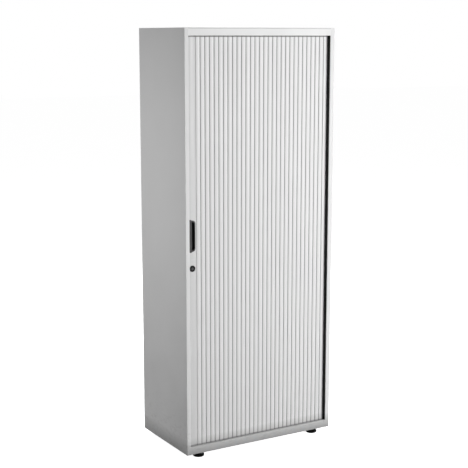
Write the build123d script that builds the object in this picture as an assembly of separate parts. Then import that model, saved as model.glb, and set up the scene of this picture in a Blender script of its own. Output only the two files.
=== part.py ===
from build123d import *
import math
import os

# Roll front cabinet: a folded sheet steel carcass whose front is closed by a
# curtain of hooked upright slats. The curtain slides to the right, turns the
# corner in two moulded tracks and is stored between the outer panels and the
# inner linings. All sizes are in millimetres. X runs to the right, Y to the
# back and Z up. The origin lies on the floor below the middle of the cabinet.

# ------------------------------------------------------------ overall sizes
width = 800.0             # outside, left to right
depth = 450.0             # outside, front to back
height = 1980.0           # floor to top
foot_height = 25.0        # floor to the underside of the body

# ------------------------------------------------------------ sheet steel
sheet = 1.2               # wall of every outer panel
bend_inside = 0.8         # inner radius of the folds
edge_radius = 2.0         # softened top edges of the body
stile_width = 20.0        # upright face left of the opening
turn_stile_width = 23.0   # the one on the right, in front of the curtain's turn
top_rail_height = 35.0
bottom_rail_height = 37.0
reveal = 16.0             # depth of the folds beside and above the opening
sill_depth = 9.0          # the one below it, which leaves a dark line at the slats' feet
floor_recess = 15.0       # underside of the floor above the bottom edge
hem = 20.0                # folded edge below the floor, front and back
liner_sheet = 1.0         # wall of the linings and of the inner floor

# ------------------------------------------------------------ slat curtain
hinge_pitch = 23.73       # wanted from one slat hinge to the next
corner_slats = 4          # slats already round the corner when shut
bead_radius = 1.5         # round edge that sits in the next slat's hook
bead_clearance = 0.3
hook_wall = 1.1
slat_wall = 1.4           # front plate of a slat
slat_rib = 1.0            # web behind the plate that carries the bead
slat_crown = 1.2          # how far the plate bulges at its middle
slat_gap = 2.8            # open line between two front plates
slat_round = 1.0          # rounding of the plate's long edges
neck_thickness = 1.2
neck_length = 3.2         # from the bead's centre to the slat's web
hook_open_front = 12.0    # degrees the hook's mouth is open past the neck
hook_open_rear = 9.0
corner_radius = 28.0      # path of the hinges round a corner
run_out = 11.7            # last hinge of the front run before the turn
curtain_gap = 1.4         # between the folds and the curtain's front

# ------------------------------------------------------------ moulded tracks
track_wall = 2.0
track_clearance = 0.5     # slat's front to the groove
hook_clearance = 0.7      # slat's hook to the groove
groove_depth = 14.0
groove_floor = 3.0
track_seat_gap = 0.3      # track to the rail fold and to the outer panels
slat_end_gap_bottom = 0.3
slat_end_gap_top = 2.0
track_margin = 10.0       # track left over past the tail of the open curtain

# ------------------------------------------------------------ leading bar
bar_width = 45.0          # from its left edge to its hinge line
bar_edge = 18.8           # from the outside left of the cabinet to the bar
bar_depth = 13.6
bar_wall = 1.6
bar_corner = 1.5
bar_crown = 1.5           # how far the bar's front bulges at its middle
bar_hook_gap = 1.1        # box section to the hook's back
bar_end_gap = 0.3
shoe_length = 34.0
shoe_clearance = 0.6
shoe_corner = 2.0
open_slats = 1            # slats left in view when the curtain is open

# ------------------------------------------------------------ handle
handle_centre = 1053.0    # above the floor
handle_height = 150.0
handle_width = 32.0
hood_width = 11.5         # the grip bar that the fingers hook behind
hood_proud = 8.0
hood_wall = 2.6
hood_overhang = 3.0       # how far the hood runs past the plate, each end
hood_corner = 4.0
hood_round = 2.2
plate_thickness = 2.0
plate_corner = 16.0
cup_wall = 1.8
cup_depth = 17.0          # finger space behind the bar's front
cup_side_margin = 2.0     # plate past the cup, left and right
cup_end_margin = 4.0      # plate past the cup, above and below
cup_fit = 0.3
tab_width = 14.0          # rear tabs that the screws go through
tab_thickness = 2.0
handle_screw_radius = 2.0
handle_screw_margin = 9.0  # screw past the cup's end

# ------------------------------------------------------------ lock
lock_centre = 903.5       # above the floor
lock_flange_radius = 14.5
lock_flange_thickness = 3.5
lock_flange_round = 1.5
lock_barrel_radius = 9.5
lock_fit = 0.3
lock_nut_radius = 13.0
lock_nut_thickness = 4.0
plug_radius = 6.0
plug_clearance = 0.2
plug_proud = 0.6
plug_bevel = 0.5
key_slot_length = 8.0
key_slot_width = 1.8
key_slot_depth = 6.0
claw_inner_radius = 28.5
claw_outer_radius = 34.0
claw_thickness = 3.0
claw_start = 60.0         # degrees, from the arm to the claw's tip,
claw_end = 100.0          # measured from +X towards +Z when unlocked
claw_gap = 2.5            # nut to claw
claw_arm_width = 9.0
claw_hub_radius = 9.0
claw_square = 6.0         # square end of the plug
claw_square_fit = 0.1
claw_screw_radius = 5.0
claw_screw_height = 2.4

# ------------------------------------------------------------ strike bracket
strike_sheet = 2.0
strike_depth = 30.0
strike_below = 14.0       # below the lock's centre
strike_above = 44.0
strike_slot_low = 5.0
strike_slot_high = 27.0
strike_slot_margin = 3.0  # slot beyond the claw, front and back
strike_slot_land = 4.0    # leaf left in front of the slot
strike_bar_gap = 2.7      # strike leaf to the leading bar

# ------------------------------------------------------------ interior
liner_hem = 15.0          # front edge of the side lining, folded flat
liner_gap = 0.4           # lining to track
liner_top_gap = 2.0       # linings to the top sheet
floor_bar_gap = 2.0       # inner floor behind the leading bar
floor_height = 63.0       # top of the inner floor
upright_width = 30.0
upright_depth = 10.0
upright_sheet = 1.5
upright_low_gap = 2.0     # inner floor to the uprights
upright_high_gap = 6.0    # uprights to the top track
upright_setback = 76.0    # front upright's middle behind the curtain hinge
upright_rear = 5.0        # rear upright's edge before the lining's rear bend
slot_pitch = 50.0
slot_width = 14.0
slot_height = 4.0
slot_margin = 40.0        # first slot above the upright's end
shelf_count = 4
shelf_height = 25.0
shelf_lip = 12.0
shelf_side_gap = 1.0
shelf_setback = 46.0      # shelf front behind the curtain hinge
shelf_back_gap = 3.0
shelf_first_slot = 7      # slot that carries the lowest shelf
shelf_slot_step = 7       # slots from one shelf to the next
clip_sheet = 2.0
clip_reach = 14.0         # clip in front of the upright
clip_drop = 12.0
clip_lip = 3.0            # behind the web, below the slot
clip_fit = 0.4

# ------------------------------------------------------------ small parts
trim_wall = 1.5           # black profile on the right reveal
trim_leg = 12.0
buffer_radius = 7.0
buffer_tip_radius = 5.6
buffer_gap = 0.3
buffer_heights = (300.0, 1700.0)
tail_width = 24.0
stop_length = 14.0
stop_gap = 1.0            # end stop inside the end of its track
stop_fit = 0.1
screw_head_radius = 4.0
screw_head_height = 2.2
screw_head_round = 1.3
screw_radius = 2.0
screw_clearance = 0.2

# ------------------------------------------------------------ feet
foot_inset_x = 80.0       # foot centre from the outside of the cabinet
foot_inset_y = 39.0
foot_radius = 27.0
foot_rim = 8.0
foot_edge = 2.5           # bevel round the bottom
foot_shoulder = 3.0
foot_slope = 2.0          # rise from the shoulder to the hub
foot_hub_radius = 12.0
foot_hub_top = 22.0
stem_radius = 5.0
stem_clearance = 0.2
stem_start = 4.0          # stem's lower end inside the disc
stem_bevel = 0.8
bush_radius = 11.0
bush_height = 12.0
stem_end_gap = 1.0        # stem below the top of the bush

cut_past = 1.0            # a cutter runs this far past the face it opens

# ------------------------------------------------------------ worked out
x_right = width / 2
x_left = -x_right
y_front = -depth / 2
y_back = depth / 2
x_inner = x_right - sheet
x_open_left = x_left + stile_width
x_open_right = x_right - turn_stile_width
z_body = foot_height
z_sill = z_body + bottom_rail_height
z_lintel = height - top_rail_height
z_floor_under = z_body + floor_recess
z_floor = z_floor_under + sheet

hook_inner = bead_radius + bead_clearance
hook_outer = hook_inner + hook_wall
plate_edge = hook_outer + bead_clearance + slat_wall   # plate front at its edges
plate_crown = plate_edge + slat_crown
groove_out = plate_crown + track_clearance             # hinge line to the groove
groove_in = hook_outer + hook_clearance
track_out = groove_out + track_wall
track_in = groove_in + track_wall

y_curtain = y_front + reveal + curtain_gap + plate_crown   # hinge line, front run
x_curtain = x_inner - track_seat_gap - track_out           # hinge line, side run
y_stored = y_back - 2 * sheet - track_seat_gap - track_out  # hinge line, back run
x_bar = x_left + bar_edge
x_first_hinge = x_bar + bar_width
y_bar_front = y_curtain - plate_crown
y_bar_back = y_bar_front + bar_depth
x_turn = x_curtain - corner_radius
y_turn = y_curtain + corner_radius
y_turn_rear = y_stored - corner_radius
x_bar_box = x_first_hinge - hook_outer - bar_hook_gap      # right face of the bar's box

front_run = x_turn - run_out - x_first_hinge           # from the bar to the last front hinge
front_slats = round(front_run / hinge_pitch)           # slats in view when shut
pitch = front_run / front_slats

z_track_low = z_floor
z_mouth_low = z_sill - sheet - track_seat_gap
z_groove_low = z_mouth_low - groove_depth
z_mouth_high = z_lintel + sheet + track_seat_gap
z_groove_high = z_mouth_high + groove_depth
z_track_high = height - sheet
z_slat_low = z_groove_low + slat_end_gap_bottom
z_slat_high = z_groove_high - slat_end_gap_top
z_bar_low = z_mouth_low + bar_end_gap
z_bar_high = z_mouth_high - bar_end_gap

x_liner = x_curtain - track_in - liner_gap                 # lining face to the curtain
y_liner = y_stored - track_in - liner_gap
x_room = x_liner - liner_sheet                             # inner face, storage room
y_room = y_liner - liner_sheet
z_liner_high = z_track_high - liner_top_gap

y_upright_front = y_curtain + upright_setback
y_upright_rear = y_turn_rear - upright_rear - upright_width / 2
z_upright_low = floor_height + upright_low_gap
z_upright_high = z_mouth_high - upright_high_gap
x_shelf_left = -x_inner + upright_depth + shelf_side_gap
x_shelf_right = x_room - upright_depth - shelf_side_gap

travel = (front_slats - open_slats) * pitch

x_bar_middle = x_bar + bar_width / 2
z_shelves = [z_upright_low + slot_margin + slot_pitch * (shelf_first_slot + shelf_slot_step * i)
             for i in range(shelf_count)]
foot_places = {"front_left": (-1, -1), "front_right": (1, -1),
               "rear_left": (-1, 1), "rear_right": (1, 1)}


# ------------------------------------------------------------ helpers
def block(x0, x1, y0, y1, z0, z1):
    """Box between two corners."""
    return Pos((x0 + x1) / 2, (y0 + y1) / 2, (z0 + z1) / 2) * Box(x1 - x0, y1 - y0, z1 - z0)


def folded(points, wall, bend=bend_inside):
    """Section of a folded sheet: outer line through the points, wall to the left of travel."""
    line = FilletPolyline(*points, radius=wall + bend)
    return make_face(offset(line, amount=wall, side=Side.LEFT).edges())


def plan_rectangle(x0, x1, y0, y1):
    """Rectangle between two corners, in plan."""
    return Pos((x0 + x1) / 2, (y0 + y1) / 2) * Rectangle(x1 - x0, y1 - y0)


def upright_section(section, z0, z1):
    """A plan section carried straight up from z0 to z1."""
    return extrude(Pos(0, 0, z0) * section, amount=z1 - z0, dir=(0, 0, 1))


def along_x(section, x0, x1):
    """A section drawn as (y, z) and carried along X from x0 to x1."""
    return extrude(Plane((x0, 0, 0), x_dir=(0, 1, 0), z_dir=(1, 0, 0)) * section, amount=x1 - x0)


def rod(x, z, radius, y0, y1):
    """Round bar along Y."""
    return Pos(x, (y0 + y1) / 2, z) * Rot(90, 0, 0) * Cylinder(radius, y1 - y0)


def post(x, y, radius, z0, z1):
    """Round bar along Z."""
    return Pos(x, y, (z0 + z1) / 2) * Cylinder(radius, z1 - z0)


# ------------------------------------------------------------ carcass
def side_panel(stile):
    """Outer side, seen as the right one: front stile with its fold round the opening, rear flange."""
    line = [(x_right - stile, y_front + reveal), (x_right - stile, y_front),
            (x_right, y_front), (x_right, y_back), (x_right - stile, y_back)]
    panel = upright_section(folded(line, sheet), z_body, height)
    return panel & softened_body()


def softened_body():
    """The body's outside block with its four top edges rounded."""
    body = block(x_left, x_right, y_front, y_back, z_body, height)
    return fillet(body.faces().sort_by(Axis.Z)[-1].edges(), edge_radius)


def side_panels():
    """Left and right outer sides."""
    return mirror(side_panel(stile_width), about=Plane.YZ), side_panel(turn_stile_width)


def top_panel(sides):
    """Top sheet folded down into the top rail, with a flange at the back."""
    line = [(y_back, height - stile_width), (y_back, height), (y_front, height),
            (y_front, z_lintel), (y_front + reveal, z_lintel)]
    top = along_x(folded(line, sheet), x_open_left - sheet, x_open_right + sheet)
    top += block(-x_inner, x_inner, y_front, y_back, height - sheet, height)
    return (top & softened_body()) - sides[0] - sides[1]


def base_panel(sides):
    """Bottom rail, front hem, raised floor, back hem and rear flange in one folded sheet."""
    line = [(y_front + sill_depth, z_sill), (y_front, z_sill), (y_front, z_body),
            (y_front + hem, z_body), (y_front + hem, z_floor_under),
            (y_back - hem, z_floor_under), (y_back - hem, z_body), (y_back, z_body),
            (y_back, z_floor_under + hem)]
    base = along_x(folded(line, sheet), x_open_left - sheet, x_open_right + sheet)
    base += block(-x_inner, x_inner, y_front + hem + sheet, y_back - hem - sheet,
                  z_floor_under, z_floor)
    base -= sides[0] + sides[1]
    for x, y in foot_centres():
        base -= post(x, y, stem_radius + stem_clearance, z_body, z_floor + cut_past)
    return base


def back_panel():
    """Flat sheet inside the rear flanges of the sides, top and base."""
    inset = sheet + bend_inside
    return block(x_left + inset, x_right - inset, y_back - 2 * sheet, y_back - sheet,
                 z_body + inset, height - inset)


def inner_floor():
    """Raised floor of the storage room: a shallow tray turned upside down."""
    room = (-x_inner, x_room, y_bar_back + floor_bar_gap, y_room, 0.0)
    outer = upright_section(room_plan(*room), z_floor, floor_height)
    return outer - upright_section(room_plan(*room, inset=liner_sheet), z_floor, floor_height - liner_sheet)


def side_lining():
    """Upright sheet between the goods and the curtain, its front edge hemmed."""
    y0 = y_turn + groove_in
    sheet_plan = plan_rectangle(x_room, x_liner, y0, y_turn_rear)
    hem_plan = plan_rectangle(x_room - liner_sheet, x_liner, y0, y0 + liner_hem)
    return upright_section(sheet_plan + hem_plan, floor_height + track_seat_gap, z_liner_high)


def corner_lining():
    """Upright strip set across the rear corner, where the curtain turns behind the goods."""
    band = between_corners(0.0) - between_corners(liner_sheet)
    corner = plan_rectangle(x_turn, x_liner, y_turn_rear, y_liner)
    return upright_section(band & corner, floor_height + track_seat_gap, z_liner_high)


def back_lining():
    """Upright sheet that keeps the stored goods off the curtain at the back."""
    return block(-x_inner, x_turn, y_room, y_liner, z_floor, z_liner_high)


# ------------------------------------------------------------ shelf uprights
def upright(x_wall, y_middle, facing):
    """Channel with a column of slots; facing is +1 when its web looks along +X."""
    half = upright_width / 2
    line = [(0, -half), (upright_depth, -half), (upright_depth, half), (0, half)]
    channel = upright_section(folded(line, upright_sheet), z_upright_low, z_upright_high)
    for z in slot_heights():
        channel -= Pos(upright_depth, 0, z) * Box(3 * upright_sheet, slot_width, slot_height)
    for z in screw_heights():
        channel -= Pos(upright_depth, 0, z) * Rot(0, 90, 0) * Cylinder(screw_radius + screw_clearance,
                                                                        3 * upright_sheet)
    if facing < 0:
        channel = mirror(channel, about=Plane.YZ)
    return Pos(x_wall, y_middle, 0) * channel


def slot_heights():
    first = z_upright_low + slot_margin
    count = int((z_upright_high - slot_margin - first) / slot_pitch) + 1
    return [first + slot_pitch * i for i in range(count)]


def screw_heights():
    """One screw half a slot below the top, middle and bottom slots."""
    slots = slot_heights()
    return [slots[i] - slot_pitch / 2 for i in (0, len(slots) // 2, len(slots) - 1)]


def upright_places():
    """Where each upright stands: the wall it is fixed to, its middle and its facing."""
    return {"upright_left_front": (-x_inner, y_upright_front, 1),
            "upright_left_rear": (-x_inner, y_upright_rear, 1),
            "upright_right_front": (x_room, y_upright_front, -1),
            "upright_right_rear": (x_room, y_upright_rear, -1)}


def upright_screws():
    """Pan head screws that hold the uprights, three in each."""
    screws = []
    for x, y, facing in upright_places().values():
        web = x + facing * upright_depth
        for z in screw_heights():
            head = Pos(web + facing * screw_head_height / 2, y, z) * Rot(0, 90, 0) \
                * Cylinder(screw_head_radius, screw_head_height)
            head = fillet(head.edges().sort_by(Axis.X)[-1 if facing > 0 else 0], screw_head_round)
            shank = Pos(x + facing * upright_depth / 2, y, z) * Rot(0, 90, 0) \
                * Cylinder(screw_radius, upright_depth)
            screws.append(head + shank)
    return screws


# ------------------------------------------------------------ shelves
def shelf(z_top):
    """Shelf tray open below, with folded lips all round."""
    room = (x_shelf_left, x_shelf_right, y_curtain + shelf_setback, y_room - shelf_back_gap, shelf_back_gap)
    z0 = z_top - shelf_height
    tray = upright_section(room_plan(*room), z0, z_top)
    tray -= upright_section(room_plan(*room, inset=sheet), z0 + sheet, z_top - sheet)
    return tray - upright_section(room_plan(*room, inset=shelf_lip), z0, z0 + sheet)


def shelf_clip(x_wall, y_middle, facing, z_slot):
    """Bent clip hooked into a slot: blade under the shelf, pad on the web, lip behind it."""
    half = slot_width / 2 - clip_fit
    web = upright_depth
    z0 = z_slot - slot_height / 2 + clip_fit / 2
    blade = block(web - upright_sheet - clip_sheet, web + clip_reach, -half, half, z0, z0 + clip_sheet)
    pad = block(web, web + clip_sheet, -half, half, z0 - clip_drop, z0 + clip_sheet)
    lip = block(web - upright_sheet - clip_sheet, web - upright_sheet - clip_fit / 2, -half, half,
                z0 - clip_lip, z0 + clip_sheet)
    clip = blade + pad + lip
    if facing < 0:
        clip = mirror(clip, about=Plane.YZ)
    return Pos(x_wall, y_middle, 0) * clip


def shelf_clips():
    return [shelf_clip(x, y, facing, z)
            for z in z_shelves for x, y, facing in upright_places().values()]


def shelf_top(z_slot):
    """Top of a shelf whose lips stand on the clips in the slots at z_slot."""
    return z_slot - slot_height / 2 + clip_fit / 2 + clip_sheet + shelf_height


# ------------------------------------------------------------ curtain path
def path_point(s):
    """Point of the hinge path at a distance s from the leading bar's hinge."""
    front = x_turn - x_first_hinge
    quarter = corner_radius * math.pi / 2
    side = y_turn_rear - y_turn
    if s <= front:
        return x_first_hinge + s, y_curtain
    s -= front
    if s <= quarter:
        turn = s / corner_radius
        return x_turn + corner_radius * math.sin(turn), y_turn - corner_radius * math.cos(turn)
    s -= quarter
    if s <= side:
        return x_curtain, y_turn + s
    s -= side
    if s <= quarter:
        turn = s / corner_radius
        return (x_turn + corner_radius * math.cos(turn),
                y_turn_rear + corner_radius * math.sin(turn))
    return x_turn - (s - quarter), y_stored


def hinge_points(count):
    """Hinges on the path, each a straight slat pitch from the one before."""
    s = 0.0
    points = [path_point(s)]
    for _ in range(count):
        step = s + pitch
        for _ in range(12):
            step += pitch - math.dist(points[-1], path_point(step))
        s = step
        points.append(path_point(s))
    return points


def rounded_plan(offset_out):
    """The closed loop that the curtain path is part of, grown outwards by an offset."""
    x0 = x_left - width
    return Pos((x0 + x_curtain) / 2, (y_curtain + y_stored) / 2) * RectangleRounded(
        x_curtain - x0 + 2 * offset_out, y_stored - y_curtain + 2 * offset_out, corner_radius + offset_out)


def between_corners(clear):
    """Wide wedge in plan whose two edges cut off both curtain corners at 45 degrees."""
    tip = x_liner + (y_turn_rear - y_turn) / 2 - clear * math.sqrt(2)
    middle = (y_turn + y_turn_rear) / 2
    reach = width + depth
    return Polygon((tip, middle), (tip - reach, middle + reach), (tip - reach, middle - reach), align=None)


def room_plan(x0, x1, y0, y1, from_linings, inset=0.0):
    """Rectangle with its right corners cut off clear of the linings, drawn in by an inset."""
    outline = plan_rectangle(x0 + inset, x1 - inset, y0 + inset, y1 - inset)
    return outline & between_corners(liner_sheet + from_linings + inset)


def track(z_mouth, z_groove, z_seat):
    """Moulded track: two walls along the path with a web at the bottom of the groove."""
    low, high = min(z_mouth, z_seat), max(z_mouth, z_seat)
    web_side = 1 if z_groove > z_mouth else -1
    z_web = sorted((z_groove, z_groove + web_side * groove_floor))
    band = rounded_plan(track_out) - rounded_plan(-track_in)
    groove = rounded_plan(groove_out) - rounded_plan(-groove_in)
    body = upright_section(band - groove, low, high) + upright_section(band, z_web[0], z_web[1])
    front = block(x_open_left + track_seat_gap, x_right, y_front, 0, low, high)
    back = block(track_end(), x_right, 0, y_back, low, high)
    return body & (front + back)


def track_end():
    """Left end of the stored run: past the tail of the fully open curtain."""
    last = hinge_points(front_slats + corner_slats + front_slats - open_slats)[-1]
    return last[0] - tail_width - stop_length - track_margin


# ------------------------------------------------------------ slats
def bead_section():
    """Round bead and the neck that joins it to the slat's web."""
    neck = plan_rectangle(0.0, neck_length + slat_rib, -neck_thickness / 2, neck_thickness / 2)
    return Circle(bead_radius) + neck


def hook_section():
    """C-shaped hook round the hinge, open towards the next slat as far as the corner turns it."""
    half_turn = math.degrees(math.asin(pitch / 2 / corner_radius))
    neck_angle = math.degrees(math.asin(neck_thickness / 2 / hook_inner))
    upper = neck_angle + hook_open_front
    lower = -(2 * half_turn + neck_angle + hook_open_rear)
    reach = 2 * hook_outer
    mouth = Polygon((0, 0), (reach * math.cos(math.radians(lower)), reach * math.sin(math.radians(lower))),
                    (reach, -reach), (reach, 0),
                    (reach * math.cos(math.radians(upper)), reach * math.sin(math.radians(upper))),
                    align=None)
    return Circle(hook_outer) - Circle(hook_inner) - mouth


def plate_section():
    """Crowned front plate of a slat, with rounded edges."""
    u0, u1 = slat_gap / 2, pitch - slat_gap / 2
    front = ThreePointArc((u0, plate_edge), (pitch / 2, plate_crown), (u1, plate_edge))
    back = ThreePointArc((u1, plate_edge - slat_wall), (pitch / 2, plate_crown - slat_wall),
                         (u0, plate_edge - slat_wall))
    ends = Line((u1, plate_edge), (u1, plate_edge - slat_wall)) + \
        Line((u0, plate_edge - slat_wall), (u0, plate_edge))
    plate = make_face([front, *ends.edges(), back])
    corners = plate.vertices().sort_by(Axis.Y)
    outer = [corner for corner in corners if abs(corner.Y - plate_edge) < slat_wall / 4]
    return fillet(outer, slat_round)


def slat_section(hooked=True):
    """A slat seen from above: u along the chain, v to the front; the bead is at the origin."""
    top = plate_edge - slat_wall / 2
    web = plan_rectangle(neck_length, neck_length + slat_rib, -neck_thickness / 2, top)
    section = plate_section() + bead_section() + web
    if hooked:
        stalk = plan_rectangle(pitch - hook_outer, pitch - hook_inner, slat_wall / 2, top)
        section += Pos(pitch, 0) * hook_section() + stalk
    return section


def slat(start, end, section):
    """Slat between two hinges. Its front looks away from the inside of the turn."""
    angle = math.degrees(math.atan2(end[1] - start[1], end[0] - start[0]))
    place = Plane((start[0], start[1], z_slat_low), x_dir=(math.cos(math.radians(angle)),
                                                           math.sin(math.radians(angle)), 0),
                  z_dir=(0, 0, -1))
    return extrude(place * section, amount=-(z_slat_high - z_slat_low))


def curtain(first, last):
    """Slats between hinge number first and hinge number last."""
    hinges = hinge_points(last)
    section = slat_section()
    return [slat(hinges[i], hinges[i + 1], section) for i in range(first, last)]


def tail_bar():
    """Last slat, with a plain edge in place of a hook."""
    hinges = hinge_points(front_slats + corner_slats + 1)
    return slat(hinges[-2], hinges[-1], slat_section(hooked=False))


# ------------------------------------------------------------ leading bar
def bar_plan():
    """Hollow box with a crowned front that runs on over the first slat's hook."""
    x_end = x_first_hinge - slat_gap / 2
    y_edge = y_bar_front + bar_crown
    front = ThreePointArc((x_bar, y_edge), (x_bar_middle, y_bar_front), (x_end, y_edge))
    rest = Polyline((x_end, y_edge), (x_end, y_edge + slat_wall), (x_bar_box, y_edge + slat_wall),
                    (x_bar_box, y_bar_back), (x_bar, y_bar_back), (x_bar, y_edge))
    outside = make_face([front, *rest.edges()])
    corners = outside.vertices()
    left, rear = corners.group_by(Axis.X)[0], corners.group_by(Axis.Y)[-1]
    outside = fillet(left + rear.group_by(Axis.X)[-1], bar_corner)
    hollow = plan_rectangle(x_bar + bar_wall, x_bar_box - bar_wall, y_edge + bar_wall, y_bar_back - bar_wall)
    return outside - hollow


def leading_bar():
    """Bar section with a hook for the first slat, cut for the handle and the lock."""
    hook = Pos(x_first_hinge, y_curtain) * mirror(hook_section(), about=Plane.XZ)
    bridge = plan_rectangle(x_bar_box - bar_wall / 2, x_first_hinge - hook_inner - hook_wall / 2,
                            y_curtain - bar_wall / 2, y_curtain + bar_wall / 2)
    bar = upright_section(bar_plan() + hook + bridge, z_bar_low, z_bar_high)
    bar -= block(x_bar_middle - cup_outside() / 2 - cup_fit, x_bar_middle + cup_outside() / 2 + cup_fit,
                 y_bar_front - cut_past, y_bar_back + cut_past,
                 handle_centre - handle_cup_height() / 2 - cup_fit,
                 handle_centre + handle_cup_height() / 2 + cup_fit)
    bar -= rod(x_bar_middle, lock_centre, lock_barrel_radius + lock_fit,
               y_bar_front - cut_past, y_bar_back + cut_past)
    for z in handle_screw_heights():
        bar -= rod(x_bar_middle, z, handle_screw_radius + screw_clearance,
                   y_bar_back - 2 * bar_wall, y_bar_back + cut_past)
    return bar


def sliding_shoes():
    """Plastic runners on both ends of the leading bar."""
    y0 = y_curtain - groove_out + shoe_clearance
    y1 = y_curtain + groove_in - shoe_clearance
    x0 = (x_bar + x_bar_box - shoe_length) / 2
    low = block(x0, x0 + shoe_length, y0, y1, z_slat_low, z_bar_low)
    high = block(x0, x0 + shoe_length, y0, y1, z_bar_high, z_slat_high)
    return [fillet(shoe.edges().filter_by(Axis.Z), shoe_corner) for shoe in (low, high)]


# ------------------------------------------------------------ handle
def cup_outside():
    """Width of the cup behind the plate."""
    return handle_width - 2 * cup_side_margin


def handle_plate_height():
    return handle_height - 2 * hood_overhang


def handle_cup_height():
    """Height of the cup behind the plate."""
    return handle_plate_height() - 2 * cup_end_margin


def handle_screw_heights():
    reach = handle_cup_height() / 2 + handle_screw_margin
    return [handle_centre - reach, handle_centre + reach]


def handle():
    """Flush pull: a D-shaped plate round a finger cup, with a raised hood along the left."""
    x0, x1 = x_bar_middle - handle_width / 2, x_bar_middle + handle_width / 2
    half = handle_plate_height() / 2
    plane = Plane((0, y_bar_front, handle_centre), x_dir=(1, 0, 0), z_dir=(0, -1, 0))
    outline = plan_rectangle(x0, x1, -half, half)
    outline = fillet(outline.vertices().group_by(Axis.X)[-1], plate_corner)
    plate = extrude(plane * outline, amount=plate_thickness)
    hood = block(x0, x0 + hood_width, y_bar_front - hood_proud, y_bar_front,
                 handle_centre - handle_height / 2, handle_centre + handle_height / 2)
    hood = fillet(hood.edges().filter_by(Axis.Y), hood_corner)
    hood = fillet(hood.faces().sort_by(Axis.Y)[0].edges(), hood_round)
    cup = block(x_bar_middle - cup_outside() / 2, x_bar_middle + cup_outside() / 2, y_bar_front,
                y_bar_front + cup_depth + cup_wall, handle_centre - handle_cup_height() / 2,
                handle_centre + handle_cup_height() / 2)
    return plate + hood + cup + handle_tabs() - finger_space(plane)


def handle_tabs():
    """Strip behind the leading bar that the handle's screws go through."""
    low, high = handle_screw_heights()
    tabs = block(x_bar_middle - tab_width / 2, x_bar_middle + tab_width / 2, y_bar_back,
                 y_bar_back + tab_thickness, low - tab_width / 2, high + tab_width / 2)
    for z in (low, high):
        tabs -= rod(x_bar_middle, z, handle_screw_radius + screw_clearance, y_bar_back - cut_past,
                    y_bar_back + tab_thickness + cut_past)
    return tabs


def finger_space(plane):
    """Room for the fingers, from behind the hood's front wall to the bottom of the cup."""
    half_width = cup_outside() / 2 - cup_wall
    half_height = handle_cup_height() / 2 - cup_wall
    space = plan_rectangle(x_bar_middle - half_width, x_bar_middle + half_width, -half_height, half_height)
    space = fillet(space.vertices().group_by(Axis.X)[-1], plate_corner - cup_side_margin - cup_wall)
    return extrude(plane * space, amount=hood_proud - hood_wall) + extrude(plane * space, amount=-cup_depth)


def handle_screws():
    """Screws through the handle's rear tabs into the leading bar."""
    screws = []
    y_head = y_bar_back + tab_thickness
    for z in handle_screw_heights():
        head = rod(x_bar_middle, z, screw_head_radius, y_head, y_head + screw_head_height)
        head = fillet(head.edges().sort_by(Axis.Y)[-1], screw_head_round)
        screws.append(head + rod(x_bar_middle, z, handle_screw_radius, y_bar_back - 2 * bar_wall, y_head))
    return screws


# ------------------------------------------------------------ lock
def lock_rear():
    """Rear end of the lock housing, flush with its nut."""
    return y_bar_back + lock_nut_thickness


def lock_housing():
    """Round flange and barrel, bored for the plug."""
    flange = rod(x_bar_middle, lock_centre, lock_flange_radius,
                 y_bar_front - lock_flange_thickness, y_bar_front)
    flange = fillet(flange.edges().sort_by(Axis.Y)[0], lock_flange_round)
    barrel = rod(x_bar_middle, lock_centre, lock_barrel_radius, y_bar_front, lock_rear())
    bore = rod(x_bar_middle, lock_centre, plug_radius + plug_clearance,
               y_bar_front - lock_flange_thickness - cut_past, lock_rear() + cut_past)
    return flange + barrel - bore


def lock_nut():
    """Hexagon nut that clamps the housing to the leading bar."""
    plane = Plane((x_bar_middle, y_bar_back, lock_centre), x_dir=(1, 0, 0), z_dir=(0, 1, 0))
    section = RegularPolygon(lock_nut_radius, 6) - Circle(lock_barrel_radius + lock_fit / 2)
    return extrude(plane * section, amount=lock_nut_thickness)


def lock_plug():
    """Turning core with its key slot, ending in the square that carries the claw."""
    front = y_bar_front - lock_flange_thickness - plug_proud
    core = rod(x_bar_middle, lock_centre, plug_radius, front, lock_rear() + claw_gap)
    core = chamfer(core.edges().sort_by(Axis.Y)[0], plug_bevel)
    slot = block(x_bar_middle - key_slot_width / 2, x_bar_middle + key_slot_width / 2, front,
                 front + key_slot_depth, lock_centre - key_slot_length / 2, lock_centre + key_slot_length / 2)
    half = claw_square / 2
    square = block(x_bar_middle - half, x_bar_middle + half, lock_rear() + claw_gap,
                   lock_rear() + claw_gap + claw_thickness, lock_centre - half, lock_centre + half)
    return core - slot + square


def lock_claw():
    """Arm with a curved claw, concentric with the plug, that reaches behind the strike."""
    middle = (claw_inner_radius + claw_outer_radius) / 2
    thickness = claw_outer_radius - claw_inner_radius
    section = trace(CenterArc((0, 0), middle, claw_start, claw_end - claw_start), thickness)
    for angle in (claw_start, claw_end):
        section += Rot(0, 0, angle) * Pos(middle, 0) * Circle(thickness / 2)
    section += Rot(0, 0, claw_start) * Pos(middle / 2, 0) * Rectangle(middle, claw_arm_width)
    section += Circle(claw_hub_radius)
    section -= Rectangle(claw_square + 2 * claw_square_fit, claw_square + 2 * claw_square_fit)
    plane = Plane((x_bar_middle, lock_rear() + claw_gap + claw_thickness, lock_centre),
                  x_dir=(1, 0, 0), z_dir=(0, -1, 0))
    return extrude(plane * section, amount=claw_thickness)


def claw_screw():
    """Screw and washer face that hold the claw on the plug's square."""
    y0 = lock_rear() + claw_gap + claw_thickness
    head = rod(x_bar_middle, lock_centre, claw_screw_radius, y0, y0 + claw_screw_height)
    return fillet(head.edges().sort_by(Axis.Y)[-1], claw_screw_height / 2)


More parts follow.
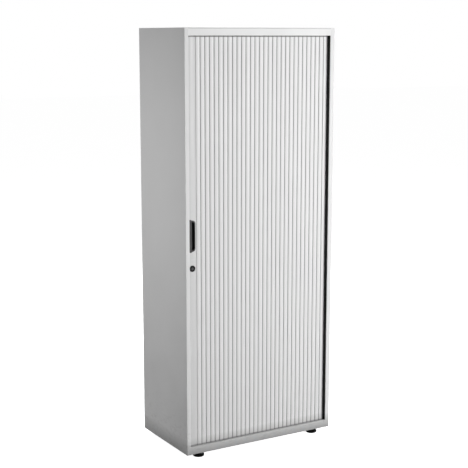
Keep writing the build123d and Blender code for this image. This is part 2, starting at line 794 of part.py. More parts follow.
def strike_bracket():
    """Channel on the left side; the claw enters the slot in its leaf."""
    x_leaf = x_bar - strike_bar_gap
    y0 = lock_rear() + claw_gap - strike_slot_margin - strike_slot_land
    y1 = y0 + strike_depth
    line = [(x_leaf, y0), (x_leaf, y1), (-x_inner, y1), (-x_inner, y0)]
    bracket = upright_section(folded(line, strike_sheet), lock_centre - strike_below,
                              lock_centre + strike_above)
    slot = block(x_leaf - 2 * strike_sheet, x_leaf + cut_past, lock_rear() + claw_gap - strike_slot_margin,
                 lock_rear() + claw_gap + claw_thickness + strike_slot_margin,
                 lock_centre + strike_slot_low, lock_centre + strike_slot_high)
    return bracket - slot


# ------------------------------------------------------------ small parts
def reveal_trim():
    """Black plastic profile clipped over the fold on the right of the opening."""
    x0 = x_open_right
    y1 = y_front + reveal
    z0, z1 = z_sill + track_seat_gap, z_lintel - track_seat_gap
    face = block(x0 - trim_wall, x0, y_front + sheet + bend_inside, y1 + trim_wall, z0, z1)
    nose = block(x0 - trim_wall, x0 + sheet + trim_wall, y1, y1 + trim_wall, z0, z1)
    leg = block(x0 + sheet, x0 + sheet + trim_wall, y1 - trim_leg, y1 + trim_wall, z0, z1)
    return face + nose + leg


def closing_buffers():
    """Rubber buffers on the left side that the leading bar meets when it is shut."""
    length = x_bar - buffer_gap + x_inner
    y = (y_bar_front + y_bar_back) / 2
    return [Pos(-x_inner + length / 2, y, z) * Rot(0, 90, 0) * Cone(buffer_radius, buffer_tip_radius, length)
            for z in buffer_heights]


def end_stops():
    """Blocks that close the stored end of both grooves."""
    x0 = track_end() + stop_gap
    y0, y1 = y_stored - groove_in + stop_fit, y_stored + groove_out - stop_fit
    return [block(x0, x0 + stop_length, y0, y1, z_groove_low, z_mouth_low),
            block(x0, x0 + stop_length, y0, y1, z_mouth_high, z_groove_high)]


# ------------------------------------------------------------ feet
def foot_centres():
    """Centres of the four feet."""
    return [(sx * (x_right - foot_inset_x), sy * (y_back - foot_inset_y)) for sx, sy in foot_places.values()]


def foot_disc(x, y):
    """Moulded glide: flat rim, sloping shoulder and a hub round the stem."""
    z_shoulder = foot_rim + foot_shoulder
    outline = Polygon((stem_radius, 0), (foot_radius - foot_edge, 0), (foot_radius, foot_edge),
                      (foot_radius, foot_rim), (foot_radius - foot_shoulder, z_shoulder),
                      (foot_hub_radius + foot_slope, z_shoulder + foot_slope),
                      (foot_hub_radius, foot_hub_top), (stem_radius, foot_hub_top), align=None)
    return Pos(x, y, 0) * revolve(Plane.XZ * outline, Axis.Z)


def foot_stem(x, y):
    """Threaded stem, shown plain, from the disc up into its bush."""
    stem = post(x, y, stem_radius, stem_start, z_floor_under - stem_end_gap)
    return chamfer(stem.edges().sort_by(Axis.Z)[-1], stem_bevel)


def foot_bushes():
    """Threaded bushes welded under the floor."""
    bushes = []
    for x, y in foot_centres():
        bush = post(x, y, bush_radius, z_floor_under - bush_height, z_floor_under)
        bushes.append(bush - post(x, y, stem_radius + stem_clearance, z_body, z_floor))
    return bushes


# ------------------------------------------------------------ the cabinet
def cabinet():
    """Every node by name: one shape, or a group of separate solids."""
    sides = side_panels()
    nodes = {
        "side_panel_left": sides[0],
        "side_panel_right": sides[1],
        "top_panel": top_panel(sides),
        "base_panel": base_panel(sides),
        "back_panel": back_panel(),
        "inner_floor": inner_floor(),
        "side_lining": side_lining(),
        "corner_lining": corner_lining(),
        "back_lining": back_lining(),
        "upright_screws": upright_screws(),
        "shelf_clips": shelf_clips(),
        "track_top": track(z_mouth_high, z_groove_high, z_track_high),
        "track_bottom": track(z_mouth_low, z_groove_low, z_track_low),
        "track_end_stops": end_stops(),
        "reveal_trim": reveal_trim(),
        "closing_buffers": closing_buffers(),
        "strike_bracket": strike_bracket(),
        "curtain_front": curtain(0, front_slats),
        "curtain_corner": curtain(front_slats, front_slats + corner_slats),
        "curtain_tail": tail_bar(),
        "leading_bar": leading_bar(),
        "sliding_shoes": sliding_shoes(),
        "handle": handle(),
        "handle_screws": handle_screws(),
        "lock_housing": lock_housing(),
        "lock_nut": lock_nut(),
        "lock_plug": lock_plug(),
        "lock_claw": lock_claw(),
        "claw_screw": claw_screw(),
        "foot_bushes": foot_bushes(),
    }
    for name, (x, y, facing) in upright_places().items():
        nodes[name] = upright(x, y, facing)
    for number, z_slot in enumerate(z_shelves, start=1):
        nodes[f"shelf_{number}"] = shelf(shelf_top(z_slot))
    for name, (x, y) in zip(foot_places, foot_centres()):
        nodes[f"foot_{name}"] = foot_disc(x, y)
        nodes[f"foot_stem_{name}"] = foot_stem(x, y)
    return nodes


os.makedirs("parts", exist_ok=True)
for node, shape in cabinet().items():
    if isinstance(shape, list):
        shape = Compound(children=shape)
    export_step(shape, f"parts/{node}.step")
print(f"travel {travel:.2f}, leading bar hinge {x_first_hinge:.2f}, turn {x_turn:.2f}, "
      f"hinge lines {y_curtain:.2f} {x_curtain:.2f} {y_stored:.2f}")
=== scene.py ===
# %% [markdown]
# # A roll front tool cabinet
#
# The real object is a folded steel cabinet whose whole front is one curtain of
# hooked upright slats. The curtain slides to the right, turns the corner inside
# the cabinet and is stored behind the linings.
#
# A fixed frame holds the exact solids of every part. This lesson dresses that
# frame: it builds the curtain as a new surface from a slat's cross-section and
# gives each part the finish that it has in a workshop. Lengths are in metres, X
# runs to the right, Y to the back and Z up, and the floor is at Z = 0.

# %% Load the frame
import math

import bpy
import numpy as np
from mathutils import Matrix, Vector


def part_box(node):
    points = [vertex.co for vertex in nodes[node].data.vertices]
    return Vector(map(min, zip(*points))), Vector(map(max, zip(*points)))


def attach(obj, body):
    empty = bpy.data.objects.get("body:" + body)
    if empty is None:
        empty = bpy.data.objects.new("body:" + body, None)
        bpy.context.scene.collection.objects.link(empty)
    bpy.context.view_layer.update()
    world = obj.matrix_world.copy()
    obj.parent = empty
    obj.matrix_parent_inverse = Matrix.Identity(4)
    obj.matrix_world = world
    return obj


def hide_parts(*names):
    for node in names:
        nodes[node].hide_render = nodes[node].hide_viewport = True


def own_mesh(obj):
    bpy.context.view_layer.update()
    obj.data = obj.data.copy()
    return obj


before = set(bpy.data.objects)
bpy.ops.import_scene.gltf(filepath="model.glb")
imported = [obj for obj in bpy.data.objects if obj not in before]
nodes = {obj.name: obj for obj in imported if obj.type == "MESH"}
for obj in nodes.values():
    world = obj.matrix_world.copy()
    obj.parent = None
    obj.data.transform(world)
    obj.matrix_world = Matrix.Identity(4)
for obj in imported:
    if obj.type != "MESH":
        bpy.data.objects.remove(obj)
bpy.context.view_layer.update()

# %% [markdown]
# ## Camera, floor and light
#
# A tall cabinet is usually pictured from a little below its top edge and from
# some distance, with a long lens, so that its sides stay nearly parallel. The
# camera stands in front and to the left, turned 30 degrees to the right and
# tipped down by 10. A shifted lens could make the uprights exactly parallel,
# but a shift would push the cabinet out of the frame in views from elsewhere.

# %% Camera
lens_data = bpy.data.cameras.new("long_lens")
lens_data.lens = 87.0
lens_data.sensor_width = 36.0
lens_data.clip_end = 200.0
camera = bpy.data.objects.new("camera", lens_data)
camera.location = (-2.7545, -4.6290, 1.9411)
camera.rotation_euler = (math.radians(90 - 9.907), 0.0, math.radians(-30.609))
bpy.context.scene.collection.objects.link(camera)
bpy.context.scene.camera = camera
print("camera", tuple(round(v, 3) for v in camera.location), "lens", lens_data.lens)

# %% [markdown]
# A material is a small graph of nodes. Four helpers keep the graphs short: one
# makes a node and plugs values or other nodes into it, one starts a finish, one
# makes a noise pattern of a stated size in millimetres, and one turns a pattern
# into a range of numbers.

# %% Node helpers
def plug(tree, kind, inputs=(), **settings):
    """A node of that kind, its settings made, its inputs given as numbers or as other sockets."""
    node = tree.nodes.new(kind)
    for name, value in settings.items():
        setattr(node, name, value)
    for name, value in dict(inputs).items():
        if isinstance(value, bpy.types.NodeSocket):
            tree.links.new(value, node.inputs[name])
        else:
            node.inputs[name].default_value = value
    return node


def start_finish(name, colour, roughness, metallic=0.0):
    """A Principled material with its constants on the shader's own sockets."""
    material = bpy.data.materials.new(name)
    material.use_nodes = True
    tree = material.node_tree
    shader = tree.nodes["Principled BSDF"]
    shader.inputs["Base Color"].default_value = (*colour, 1.0)
    shader.inputs["Roughness"].default_value = roughness
    shader.inputs["Metallic"].default_value = metallic
    return material, tree, shader


def place(tree, stretch=(1.0, 1.0, 1.0)):
    """Object coordinates, divided by a stretch along each axis."""
    where = plug(tree, "ShaderNodeTexCoord").outputs["Object"]
    scale = tuple(1.0 / s for s in stretch)
    return plug(tree, "ShaderNodeMapping", {"Vector": where, "Scale": scale}).outputs["Vector"]


def noise(tree, size_mm, detail=2.0, stretch=(1.0, 1.0, 1.0)):
    """Soft noise, 0 to 1, whose lumps are about size_mm across."""
    inputs = {"Vector": place(tree, stretch), "Scale": 1000.0 / size_mm, "Detail": detail}
    return plug(tree, "ShaderNodeTexNoise", inputs).outputs["Fac"]


def remap(tree, value, low, high, to_low, to_high):
    """The value's range low..high carried to to_low..to_high, held at both ends."""
    inputs = {"Value": value, "From Min": low, "From Max": high, "To Min": to_low, "To Max": to_high}
    return plug(tree, "ShaderNodeMapRange", inputs).outputs["Result"]


def blend_colours(tree, share, first, second):
    """first where share is 0, second where it is 1."""
    node = plug(tree, "ShaderNodeMix", data_type="RGBA")
    sockets = {"Factor_Float": share, "A_Color": first, "B_Color": second}
    for socket in node.inputs:
        value = sockets.get(socket.identifier)
        if isinstance(value, bpy.types.NodeSocket):
            tree.links.new(value, socket)
        elif value is not None:
            socket.default_value = value if socket.type == "VALUE" else (*value, 1.0)
    return next(s for s in node.outputs if s.identifier == "Result_Color")


def times(tree, first, second):
    """Product of two numbers or sockets."""
    return plug(tree, "ShaderNodeMath", {0: first, 1: second}, operation="MULTIPLY").outputs[0]


def emboss(tree, shader, height, depth_mm, normal=None):
    """Bump of depth_mm from a height pattern of 0 to 1, on top of an earlier bump if there is one."""
    inputs = {"Height": height, "Distance": depth_mm / 1000.0, "Strength": 1.0}
    if normal is not None:
        inputs["Normal"] = normal
    out = plug(tree, "ShaderNodeBump", inputs).outputs["Normal"]
    tree.links.new(out, shader.inputs["Normal"])
    return out


print("helpers ready")

# %% [markdown]
# The floor and the surroundings read as plain white. A path from the camera, or
# one that a glossy or clear surface sends on, meets white; the light that falls
# on the cabinet from the same places is a separate, plain level. The floor keeps
# a soft shadow, because its own diffuse part still takes the light.

# %% White surroundings
def seen_directly(tree):
    """1 for camera, glossy and transmission rays, 0 for the rays that carry light."""
    path = plug(tree, "ShaderNodeLightPath").outputs
    seen = plug(tree, "ShaderNodeMath", {0: path["Is Camera Ray"], 1: path["Is Glossy Ray"]},
                operation="MAXIMUM").outputs[0]
    return plug(tree, "ShaderNodeMath", {0: seen, 1: path["Is Transmission Ray"]},
                operation="MAXIMUM").outputs[0]


sky_level = 0.05
world = bpy.data.worlds.new("soft_sky")
bpy.context.scene.world = world
world.use_nodes = True
tree = world.node_tree
tree.nodes.clear()
light_part = plug(tree, "ShaderNodeBackground", {"Color": (1.0, 1.0, 1.0, 1.0), "Strength": sky_level})
seen_part = plug(tree, "ShaderNodeBackground", {"Color": (1.0, 1.0, 1.0, 1.0), "Strength": 1.0})
both = plug(tree, "ShaderNodeMixShader",
            {0: seen_directly(tree), 1: light_part.outputs[0], 2: seen_part.outputs[0]})
plug(tree, "ShaderNodeOutputWorld", {"Surface": both.outputs[0]})

floor_half = 30.0
floor_mesh = bpy.data.meshes.new("floor")
floor_mesh.from_pydata([(-floor_half, -floor_half, 0), (floor_half, -floor_half, 0),
                        (floor_half, floor_half, 0), (-floor_half, floor_half, 0)], [], [(0, 1, 2, 3)])
floor = bpy.data.objects.new("floor", floor_mesh)
bpy.context.scene.collection.objects.link(floor)
material = bpy.data.materials.new("floor_white")
material.use_nodes = True
tree = material.node_tree
tree.nodes.clear()
bounce = plug(tree, "ShaderNodeBsdfDiffuse", {"Color": (0.08, 0.08, 0.08, 1.0)})
pale = plug(tree, "ShaderNodeBsdfDiffuse", {"Color": (0.85, 0.85, 0.85, 1.0)})
glow = plug(tree, "ShaderNodeEmission", {"Color": (1.0, 1.0, 1.0, 1.0), "Strength": 0.95})
seen_floor = plug(tree, "ShaderNodeAddShader", {0: pale.outputs[0], 1: glow.outputs[0]})
both = plug(tree, "ShaderNodeMixShader",
            {0: seen_directly(tree), 1: bounce.outputs[0], 2: seen_floor.outputs[0]})
plug(tree, "ShaderNodeOutputMaterial", {"Surface": both.outputs[0]})
floor_mesh.materials.append(material)
print("sky", sky_level, "floor", 2 * floor_half, "m across")

# %% [markdown]
# Soft boxes do the rest. One stands straight in front at elbow height, so the
# folds of the opening throw hardly any shadow. A tall strip stands farther off on
# the right: it makes the front brighter towards its right side and puts a sheen
# on the right flank of every slat. A weak one overhead draws the line under the
# top rail, and one straight out on the left keeps the side panel a clear mid
# grey, brightest at breast height. The last three hang over the top and stand
# behind and on the far side, where they can't reach the front, and light those
# faces for walks around.

# %% Lamps
def soft_box(name, spot, target, wide, high, watts, glossy=True):
    """An area lamp at a spot, turned to face the target; glossy says whether it shows in reflections."""
    lamp = bpy.data.lights.new(name, "AREA")
    lamp.shape = "RECTANGLE"
    lamp.size, lamp.size_y = wide, high
    lamp.energy = watts
    holder = bpy.data.objects.new(name, lamp)
    holder.location = spot
    aim = np.subtract(target, spot)
    flat = math.hypot(aim[0], aim[1])
    holder.rotation_euler = (math.atan2(flat, -aim[2]), 0.0, math.atan2(-aim[0], aim[1]))
    holder.visible_camera = False
    holder.visible_glossy = glossy
    bpy.context.scene.collection.objects.link(holder)
    return holder


soft_box("front_soft_box", (1.0, -3.0, 1.1), (0.1, -0.2, 1.0), 0.8, 0.8, 48.0, glossy=False)
soft_box("strip_soft_box", (3.4, -5.4, 1.8), (0.0, -0.2, 1.2), 0.8, 2.0, 138.0)
soft_box("top_soft_box", (0.9, -2.2, 4.2), (0.1, -0.2, 1.0), 1.2, 1.2, 12.0, glossy=False)
soft_box("side_soft_box", (-1.9, 0.2, 1.35), (-0.4, 0.2, 1.35), 0.8, 0.8, 11.0)
soft_box("over_soft_box", (0.4, 0.6, 4.0), (0.4, 0.6, 2.0), 1.0, 1.0, 24.0)
soft_box("rear_soft_box", (1.3, 3.4, 2.6), (0.0, 0.2, 1.1), 1.8, 1.8, 125.0, glossy=False)
soft_box("far_side_soft_box", (3.2, 1.2, 1.8), (0.4, 0.1, 1.0), 1.2, 1.2, 17.0, glossy=False)

# %% [markdown]
# ## The slat curtain
#
# Each slat is one extruded strip. Its front is a plate with a slight crown, its
# left edge carries a round bead on a neck, and its right edge ends in a hook that
# holds the next slat's bead, so the curtain can turn a corner. A strip of this
# kind is a closed outline carried straight up, so the whole curtain is one
# outline, repeated at an even pitch and drawn between two heights.

# %% One slat's outline
low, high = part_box("curtain_front")
hinge_first, hinge_last = -0.3362, 0.3505
slat_count = 29
pitch = (hinge_last - hinge_first) / slat_count
hinge_line = -0.2018
bead, hook_in, hook_out = 0.0015, 0.0018, 0.0029
hook_from, hook_to = 31.5, 281.5
plate_edge, plate_crown, plate_thick = 0.0046, 0.0058, 0.0014
edge_gap, edge_round = 0.0014, 0.0010


def arc(u, v, radius, start, end, steps):
    """Points of a circle about (u, v): centre plus radius times (cosine, sine) of evenly spaced degrees."""
    turn = np.radians(np.linspace(start, end, steps))
    return np.column_stack([u + radius * np.cos(turn), v + radius * np.sin(turn)])


def crown(u):
    """Height of the plate's front: edge height plus a parabola, 1 at the middle and 0 at both edges."""
    along = (u - pitch / 2) / (pitch / 2 - edge_gap)
    return plate_edge + (plate_crown - plate_edge) * (1.0 - along ** 2)


def run(u_start, u_end, steps, drop=0.0):
    """Points along the crowned front between two places, lowered by drop."""
    u = np.linspace(u_start, u_end, steps)
    return np.column_stack([u, crown(u) - drop])


def slat_outline():
    """Closed outline, in order: front plate, hook round the next hinge, plate back, web, neck and bead."""
    inner, outer = edge_gap + edge_round, pitch - edge_gap - edge_round
    stalk_high = np.degrees(np.arccos(-hook_in / hook_out))
    neck = 0.0006
    neck_turn = np.degrees(np.arcsin(neck / bead))
    web_left, web_right = 0.0032, 0.0042
    return np.vstack([
        arc(inner, plate_edge - edge_round + 0.0001, edge_round, 180, 103, 6),
        run(inner + 0.0002, outer - 0.0002, 25),
        arc(outer, plate_edge - edge_round + 0.0001, edge_round, 77, 0, 6),
        run(pitch - edge_gap, pitch - hook_in, 3, plate_thick),
        arc(pitch, 0, hook_out, stalk_high, hook_from, 9),
        arc(pitch, 0, hook_in, hook_from, hook_to, 22),
        arc(pitch, 0, hook_out, hook_to, 180, 10),
        run(pitch - hook_out, web_right, 13, plate_thick),
        [(web_right, -neck)],
        arc(0, 0, bead, -neck_turn, neck_turn - 360, 18),
        [(web_left, neck)],
        run(web_left, edge_gap, 4, plate_thick),
    ])


outline = slat_outline()
print("outline points", len(outline), "pitch mm", round(pitch * 1000, 3))

# %% [markdown]
# The outline is copied to every hinge at two heights with whole arrays: the
# places have three axes, slat, level and outline point. Side faces join a point
# to its neighbour and to the level above, and one face closes each end. A tone
# attribute, a little different on each slat, lets the finish tell them apart, and
# a groove attribute marks the beads and hooks that show between two plates,
# where the finish paints shade in the gaps along with some dust.
#
# When the bar slides open, the real slats run on round the corner. Here the
# curtain is attached to the cabinet's body and does not follow the bar.

# %% The curtain's mesh
def carried_up(outline, starts, z_low, z_high):
    """Closed prisms as vertices and faces: x = start + u, y = hinge line - v, at both heights."""
    count, levels, points = len(starts), 2, len(outline)
    x = starts[:, None, None] + outline[None, None, :, 0]
    y = hinge_line - outline[None, None, :, 1]
    z = np.array([z_low, z_high])[None, :, None]
    places = np.stack(np.broadcast_arrays(x, y, z), axis=-1).reshape(-1, 3)
    first = np.arange(count)[:, None] * levels * points
    here = np.arange(points)[None, :]
    after = (here + 1) % points
    sides = np.stack([first + here, first + after, first + after + points, first + here + points], -1)
    bottoms = (first + here[:, ::-1]).tolist()
    tops = (first + points + here).tolist()
    return places, sides.reshape(-1, 4).tolist() + bottoms + tops


starts = hinge_first + pitch * np.arange(slat_count)
places, faces = carried_up(outline, starts, low.z, high.z)
area = 0.5 * np.sum(outline[:, 0] * np.roll(outline[:, 1], -1) - np.roll(outline[:, 0], -1) * outline[:, 1])
if area > 0:
    faces = [face[::-1] for face in faces]
curtain_mesh = bpy.data.meshes.new("slat_curtain")
curtain_mesh.from_pydata(places, [], faces)
tone = np.repeat(0.5 + 0.5 * np.sin(12.9898 * np.arange(slat_count)), 2 * len(outline))
curtain_mesh.attributes.new("tone", "FLOAT", "POINT").data.foreach_set("value", tone.astype(np.float32))
u, v = outline.T
beside_hinge = (u < 0.0032) | (u > pitch - hook_out - 0.0001)
# Beads and hooks between two plates, which the finish darkens: painted shade in the gaps along with some
# dust.
groove_shade_and_dust = beside_hinge * np.clip((plate_edge - 0.0004 - v) / 0.0006, 0, 1) * (v > -0.0002)
groove = np.tile(groove_shade_and_dust, 2 * slat_count).astype(np.float32)
curtain_mesh.attributes.new("groove", "FLOAT", "POINT").data.foreach_set("value", groove)
curtain_mesh.shade_smooth()
curtain_mesh.set_sharp_from_angle(angle=math.radians(32))
curtain_mesh.update()
curtain = bpy.data.objects.new("slat_curtain", curtain_mesh)
bpy.context.scene.collection.objects.link(curtain)
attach(curtain, "cabinet")
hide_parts("curtain_front")
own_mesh(curtain)
print("curtain", len(places), "points", len(faces), "faces, outline turns", "left" if area > 0 else "right")

# %% [markdown]
# ## Finishes
#
# The body is steel with a light grey powder coat. Powder melts into a fine
# orange peel, so its bump is two noises of about one millimetre and three
# millimetres. Its tone drifts by up to three percent over a panel, and near the
# floor it picks up faint scuffs, which are a noise multiplied by a mask that
# fades out with height; the same patches also paint some shade near the floor.
# Painted shade darkens the last 100 mm above the floor evenly. The top sheet's
# coat is paler, a painted sheen, and above a line just under its upper face the
# coat darkens: painted shade along the front edge and dust on the upper face.

# %% Powder coat
# Heights between which the painted shade near the floor fades out, and the grey of painted shade.
bottom_edge, painted_shade_top = 0.024, 0.100
painted_shade_grey = (0.10, 0.10, 0.10)


def painted_floor_shade(tree, base):
    """Painted shade: darkens a colour towards the floor, its share falling evenly with height."""
    height = plug(tree, "ShaderNodeSeparateXYZ", {0: place(tree)}).outputs["Z"]
    # Painted shade near the floor, strongest at the bottom edge.
    return blend_colours(tree, remap(tree, height, bottom_edge, painted_shade_top, 0.66, 0.0), base, painted_shade_grey)


def powder_coat(name, grey, scuffs_and_floor_shade=True, shade_and_dust_from=None):
    """Light grey coat: orange peel, drift in tone, scuffs and painted shade that fade with height, painted
    shade and dust above one height.
    """
    colour = (grey, grey, grey)
    material, tree, shader = start_finish(name, colour, 0.46)
    drift = remap(tree, noise(tree, 260.0, 3.0), 0.3, 0.7, 0.0, 1.0)
    base = blend_colours(tree, drift, tuple(c * 0.972 for c in colour), colour)
    if scuffs_and_floor_shade:
        # Scuff patches that thicken towards the floor, also painting some shade there.
        height = plug(tree, "ShaderNodeSeparateXYZ", {0: place(tree)}).outputs["Z"]
        near_floor_scuffs_and_shade = remap(tree, height, 0.02, 0.30, 1.0, 0.0)
        patches = remap(tree, noise(tree, 24.0, 6.0, (1.0, 1.0, 0.5)), 0.52, 0.72, 0.0, 0.30)
        base = blend_colours(tree, times(tree, near_floor_scuffs_and_shade, patches), base, (0.36, 0.35, 0.34))
        # Painted shade over the last 100 mm above the floor.
        base = painted_floor_shade(tree, base)
    if shade_and_dust_from is not None:
        # Darker above this height: painted shade along the top's front edge, dust on its upper face.
        height = plug(tree, "ShaderNodeSeparateXYZ", {0: place(tree)}).outputs["Z"]
        dust = remap(tree, height, shade_and_dust_from, shade_and_dust_from + 0.003, 0.0, 0.24)
        base = blend_colours(tree, dust, base, painted_shade_grey)
    tree.links.new(base, shader.inputs["Base Color"])
    tree.links.new(remap(tree, noise(tree, 90.0, 4.0), 0.3, 0.7, 0.41, 0.52), shader.inputs["Roughness"])
    fine = emboss(tree, shader, noise(tree, 1.1, 2.0), 0.03)
    emboss(tree, shader, noise(tree, 3.2, 1.0), 0.05, fine)
    return material


body_coat = powder_coat("powder_coat_body", 0.80)
# Paler coat on the top sheet: a painted sheen. Its upper face and front edge darken: painted shade at the
# edge, dust on the face.
top_coat_painted_sheen = powder_coat("powder_coat_top_painted_sheen", 0.87, shade_and_dust_from=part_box("top_panel")[1].z - 0.007)
lining_coat = powder_coat("powder_coat_lining", 0.76, scuffs_and_floor_shade=False)
shelf_coat = powder_coat("powder_coat_shelf", 0.78, scuffs_and_floor_shade=False)
upright_coat = powder_coat("powder_coat_upright", 0.74, scuffs_and_floor_shade=False)
print("powder coats ready")

# %% [markdown]
# The slats and the leading bar are extruded, so anything the die leaves runs
# straight up: fine lines, drawn by a noise that is stretched a thousand times
# along Z. Their satin skin is a little smoother than the body's coat. Each slat
# has its own tone, and the joints between the plates are darker, painted shade
# in the gaps along with some dust; both are read from the attributes. A painted
# shadow darkens the ends next to the sill and under the top rail, and painted
# shade darkens all of them towards the floor. The leading bar is a shade darker,
# and one broad bump makes it look crowned.

# %% Extruded skins
sill_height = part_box("base_panel")[1].z
lintel_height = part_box("top_panel")[0].z
# Height above the sill that the painted shadow covers.
sill_shadow_band = 0.006
bar_crown_mm = 2.3


def painted_track_shadow(tree, base):
    """Painted shadow: darkens a colour in the last millimetres before the sill and the lintel."""
    height = plug(tree, "ShaderNodeSeparateXYZ", {0: place(tree)}).outputs["Z"]
    # Painted shadow next to the sill and under the top rail.
    low_end = remap(tree, height, sill_height, sill_height + sill_shadow_band, 0.6, 0.0)
    high_end = remap(tree, height, lintel_height - 0.007, lintel_height - 0.005, 0.0, 0.80)
    track_shadow_share = plug(tree, "ShaderNodeMath", {0: low_end, 1: high_end}, operation="MAXIMUM").outputs[0]
    return blend_colours(tree, track_shadow_share, base, (0.08, 0.08, 0.08))


def extruded_skin(name, grey, roughness, toned=False, crowned=None):
    """Satin skin: die lines along Z, a tone for each slat, a crown between two X places of a bar."""
    colour = (grey, grey, grey)
    material, tree, shader = start_finish(name, colour, roughness)
    lines = noise(tree, 1.3, 2.0, (1.0, 1.0, 900.0))
    share = remap(tree, lines, 0.35, 0.65, 0.0, 1.0)
    base = blend_colours(tree, share, tuple(c * 0.985 for c in colour), colour)
    if toned:
        own = plug(tree, "ShaderNodeAttribute", attribute_name="tone").outputs["Fac"]
        base = blend_colours(tree, times(tree, own, 0.05), base, tuple(c * 0.8 for c in colour))
        # Joints darker: painted shade in the gaps along with some dust.
        joint_shade_and_dust = plug(tree, "ShaderNodeAttribute", attribute_name="groove").outputs["Fac"]
        base = blend_colours(tree, joint_shade_and_dust, base, (0.32, 0.32, 0.32))
    # Painted shadow at the track ends, painted shade towards the floor.
    base = painted_floor_shade(tree, painted_track_shadow(tree, base))
    tree.links.new(base, shader.inputs["Base Color"])
    rough = remap(tree, noise(tree, 40.0, 3.0, (1.0, 1.0, 6.0)), 0.3, 0.7, roughness - 0.04, roughness + 0.05)
    tree.links.new(rough, shader.inputs["Roughness"])
    swell = None
    if crowned is not None:
        across = plug(tree, "ShaderNodeSeparateXYZ", {0: place(tree)}).outputs["X"]
        across = remap(tree, across, *crowned, -1.0, 1.0)
        rise = plug(tree, "ShaderNodeMath", {0: 1.0, 1: times(tree, across, across)}, operation="SUBTRACT")
        swell = emboss(tree, shader, rise.outputs[0], bar_crown_mm)
    coarse = emboss(tree, shader, lines, 0.006, swell)
    emboss(tree, shader, noise(tree, 0.9, 1.0), 0.004, coarse)
    return material


slat_skin = extruded_skin("satin_slat", 0.82, 0.40, toned=True)
turned_slat_skin = extruded_skin("satin_turned_slat", 0.82, 0.40)
bar_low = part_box("leading_bar")[0]
bar_skin = extruded_skin("satin_bar", 0.66, 0.38, crowned=(bar_low.x, hinge_first))
curtain.data.materials.append(slat_skin)
print("extruded skins ready")

# %% [markdown]
# The pull, the lock flange and the reveal profile are black mouldings with a
# fine spark-eroded grain; the reveal profile's near black also stands for the
# shade in the gap behind the right stile, painted shade. The feet are coarser
# nylon and pick up dust on their shoulders. One recipe with a grain size and a
# dust share makes them all.

# %% Moulded plastics
def moulding(name, colour, roughness, grain_mm, grain_depth, dust=0.0, shine=0.5):
    """Moulded plastic: cell grain, slight mottling, dust on faces that look up."""
    material, tree, shader = start_finish(name, colour, roughness)
    shader.inputs["Specular IOR Level"].default_value = shine
    mottle = remap(tree, noise(tree, 14.0, 4.0), 0.3, 0.7, 0.0, 1.0)
    base = blend_colours(tree, mottle, tuple(c * 0.85 for c in colour), tuple(c * 1.15 for c in colour))
    if dust:
        up = plug(tree, "ShaderNodeSeparateXYZ", {0: plug(tree, "ShaderNodeNewGeometry").outputs["Normal"]})
        settled = remap(tree, up.outputs["Z"], 0.25, 0.95, 0.0, dust)
        patches = remap(tree, noise(tree, 5.0, 4.0), 0.35, 0.65, 0.3, 1.0)
        base = blend_colours(tree, times(tree, settled, patches), base, (0.30, 0.29, 0.27))
    tree.links.new(base, shader.inputs["Base Color"])
    rough = remap(tree, mottle, 0.0, 1.0, roughness - 0.05, roughness + 0.06)
    tree.links.new(rough, shader.inputs["Roughness"])
    cells = plug(tree, "ShaderNodeTexVoronoi", {"Vector": place(tree), "Scale": 1000.0 / grain_mm})
    emboss(tree, shader, cells.outputs["Distance"], grain_depth)
    return material


black_moulding = moulding("black_moulding", (0.040, 0.040, 0.041), 0.44, 0.5, 0.02, shine=0.35)
# For the reveal profile, this near black is partly painted shade in the gap behind the right stile.
trim_moulding = moulding("trim_moulding", (0.012, 0.012, 0.012), 0.55, 0.5, 0.02, shine=0.12)
foot_nylon = moulding("foot_nylon", (0.004, 0.004, 0.004), 0.60, 0.8, 0.03, dust=0.02, shine=0.05)
track_plastic = moulding("track_plastic", (0.40, 0.40, 0.41), 0.42, 0.7, 0.015, dust=0.2)
buffer_rubber = moulding("buffer_rubber", (0.030, 0.030, 0.030), 0.72, 0.6, 0.03)
print("mouldings ready")

# %% [markdown]
# Screws, clips and the lock's rear parts are bright zinc, whose crystals show as
# patches a few millimetres wide. The lock's turning core is dark nickel, turned
# on a lathe, so its face carries rings about its own middle: a ring pattern on
# coordinates that are first centred on the lock.

# %% Metals
def zinc_plate():
    """Bright zinc: crystal patches in tone and roughness, faint scratches as bump."""
    material, tree, shader = start_finish("zinc_plate", (0.66, 0.67, 0.68), 0.32, 1.0)
    cells = plug(tree, "ShaderNodeTexVoronoi", {"Vector": place(tree), "Scale": 1000.0 / 3.5})
    grey = plug(tree, "ShaderNodeSeparateColor", {"Color": cells.outputs["Color"]}).outputs["Red"]
    patches = blend_colours(tree, grey, (0.58, 0.59, 0.61), (0.72, 0.73, 0.73))
    tree.links.new(patches, shader.inputs["Base Color"])
    tree.links.new(remap(tree, grey, 0.0, 1.0, 0.26, 0.40), shader.inputs["Roughness"])
    emboss(tree, shader, noise(tree, 0.6, 2.0, (8.0, 1.0, 1.0)), 0.004)
    return material


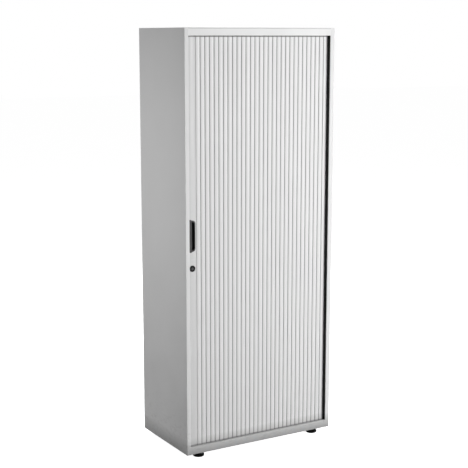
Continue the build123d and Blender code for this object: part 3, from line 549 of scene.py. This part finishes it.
def turned_nickel(centre):
    """Dark nickel with lathe rings: a sine of the distance from the lock's axis."""
    material, tree, shader = start_finish("turned_nickel", (0.05, 0.05, 0.05), 0.34, 1.0)
    where = plug(tree, "ShaderNodeTexCoord").outputs["Object"]
    middle = plug(tree, "ShaderNodeMapping", {"Vector": where, "Location": tuple(-c for c in centre)})
    rings = plug(tree, "ShaderNodeTexWave",
                 {"Vector": middle.outputs["Vector"], "Scale": 260.0, "Detail": 0.0},
                 wave_type="RINGS", rings_direction="Y").outputs["Fac"]
    turned = blend_colours(tree, rings, (0.04, 0.04, 0.04), (0.08, 0.08, 0.085))
    tree.links.new(turned, shader.inputs["Base Color"])
    tree.links.new(remap(tree, noise(tree, 2.0, 3.0), 0.3, 0.7, 0.26, 0.42), shader.inputs["Roughness"])
    emboss(tree, shader, rings, 0.008)
    return material


core_low, core_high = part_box("lock_plug")
lock_centre = tuple((core_low + core_high) / 2)
zinc = zinc_plate()
nickel = turned_nickel(lock_centre)
print("metals ready, lock at", tuple(round(c, 4) for c in lock_centre))

# %% [markdown]
# Every part takes its finish by its family. The frame's own meshes stay exactly
# as they are; only the material in their slot changes.

# %% Dress the parts
families = {
    body_coat: ["side_panel_left", "side_panel_right", "base_panel", "back_panel"],
    top_coat_painted_sheen: ["top_panel"],
    lining_coat: ["inner_floor", "side_lining", "corner_lining", "back_lining"],
    shelf_coat: ["shelf_1", "shelf_2", "shelf_3", "shelf_4"],
    upright_coat: ["upright_left_front", "upright_left_rear", "upright_right_front", "upright_right_rear"],
    slat_skin: ["curtain_front"],
    turned_slat_skin: ["curtain_corner", "curtain_tail"],
    bar_skin: ["leading_bar"],
    black_moulding: ["handle"],
    trim_moulding: ["reveal_trim", "lock_housing"],
    nickel: ["lock_plug"],
    track_plastic: ["track_top", "track_bottom", "track_end_stops", "sliding_shoes"],
    buffer_rubber: ["closing_buffers"],
    foot_nylon: ["foot_front_left", "foot_front_right", "foot_rear_left", "foot_rear_right"],
    zinc: ["upright_screws", "shelf_clips", "strike_bracket", "handle_screws", "lock_nut", "lock_claw",
           "claw_screw", "foot_bushes", "foot_stem_front_left", "foot_stem_front_right",
           "foot_stem_rear_left", "foot_stem_rear_right"],
}
for finish, names in families.items():
    for name in names:
        nodes[name].data.materials.clear()
        nodes[name].data.materials.append(finish)
bare = sorted(set(nodes) - {name for names in families.values() for name in names})
print("parts without a finish", bare)

# %% [markdown]
# ## Finish
#
# The last cell sets the view transform to Standard.

# %% View transform
view = bpy.context.scene.view_settings
view.view_transform = "Standard"
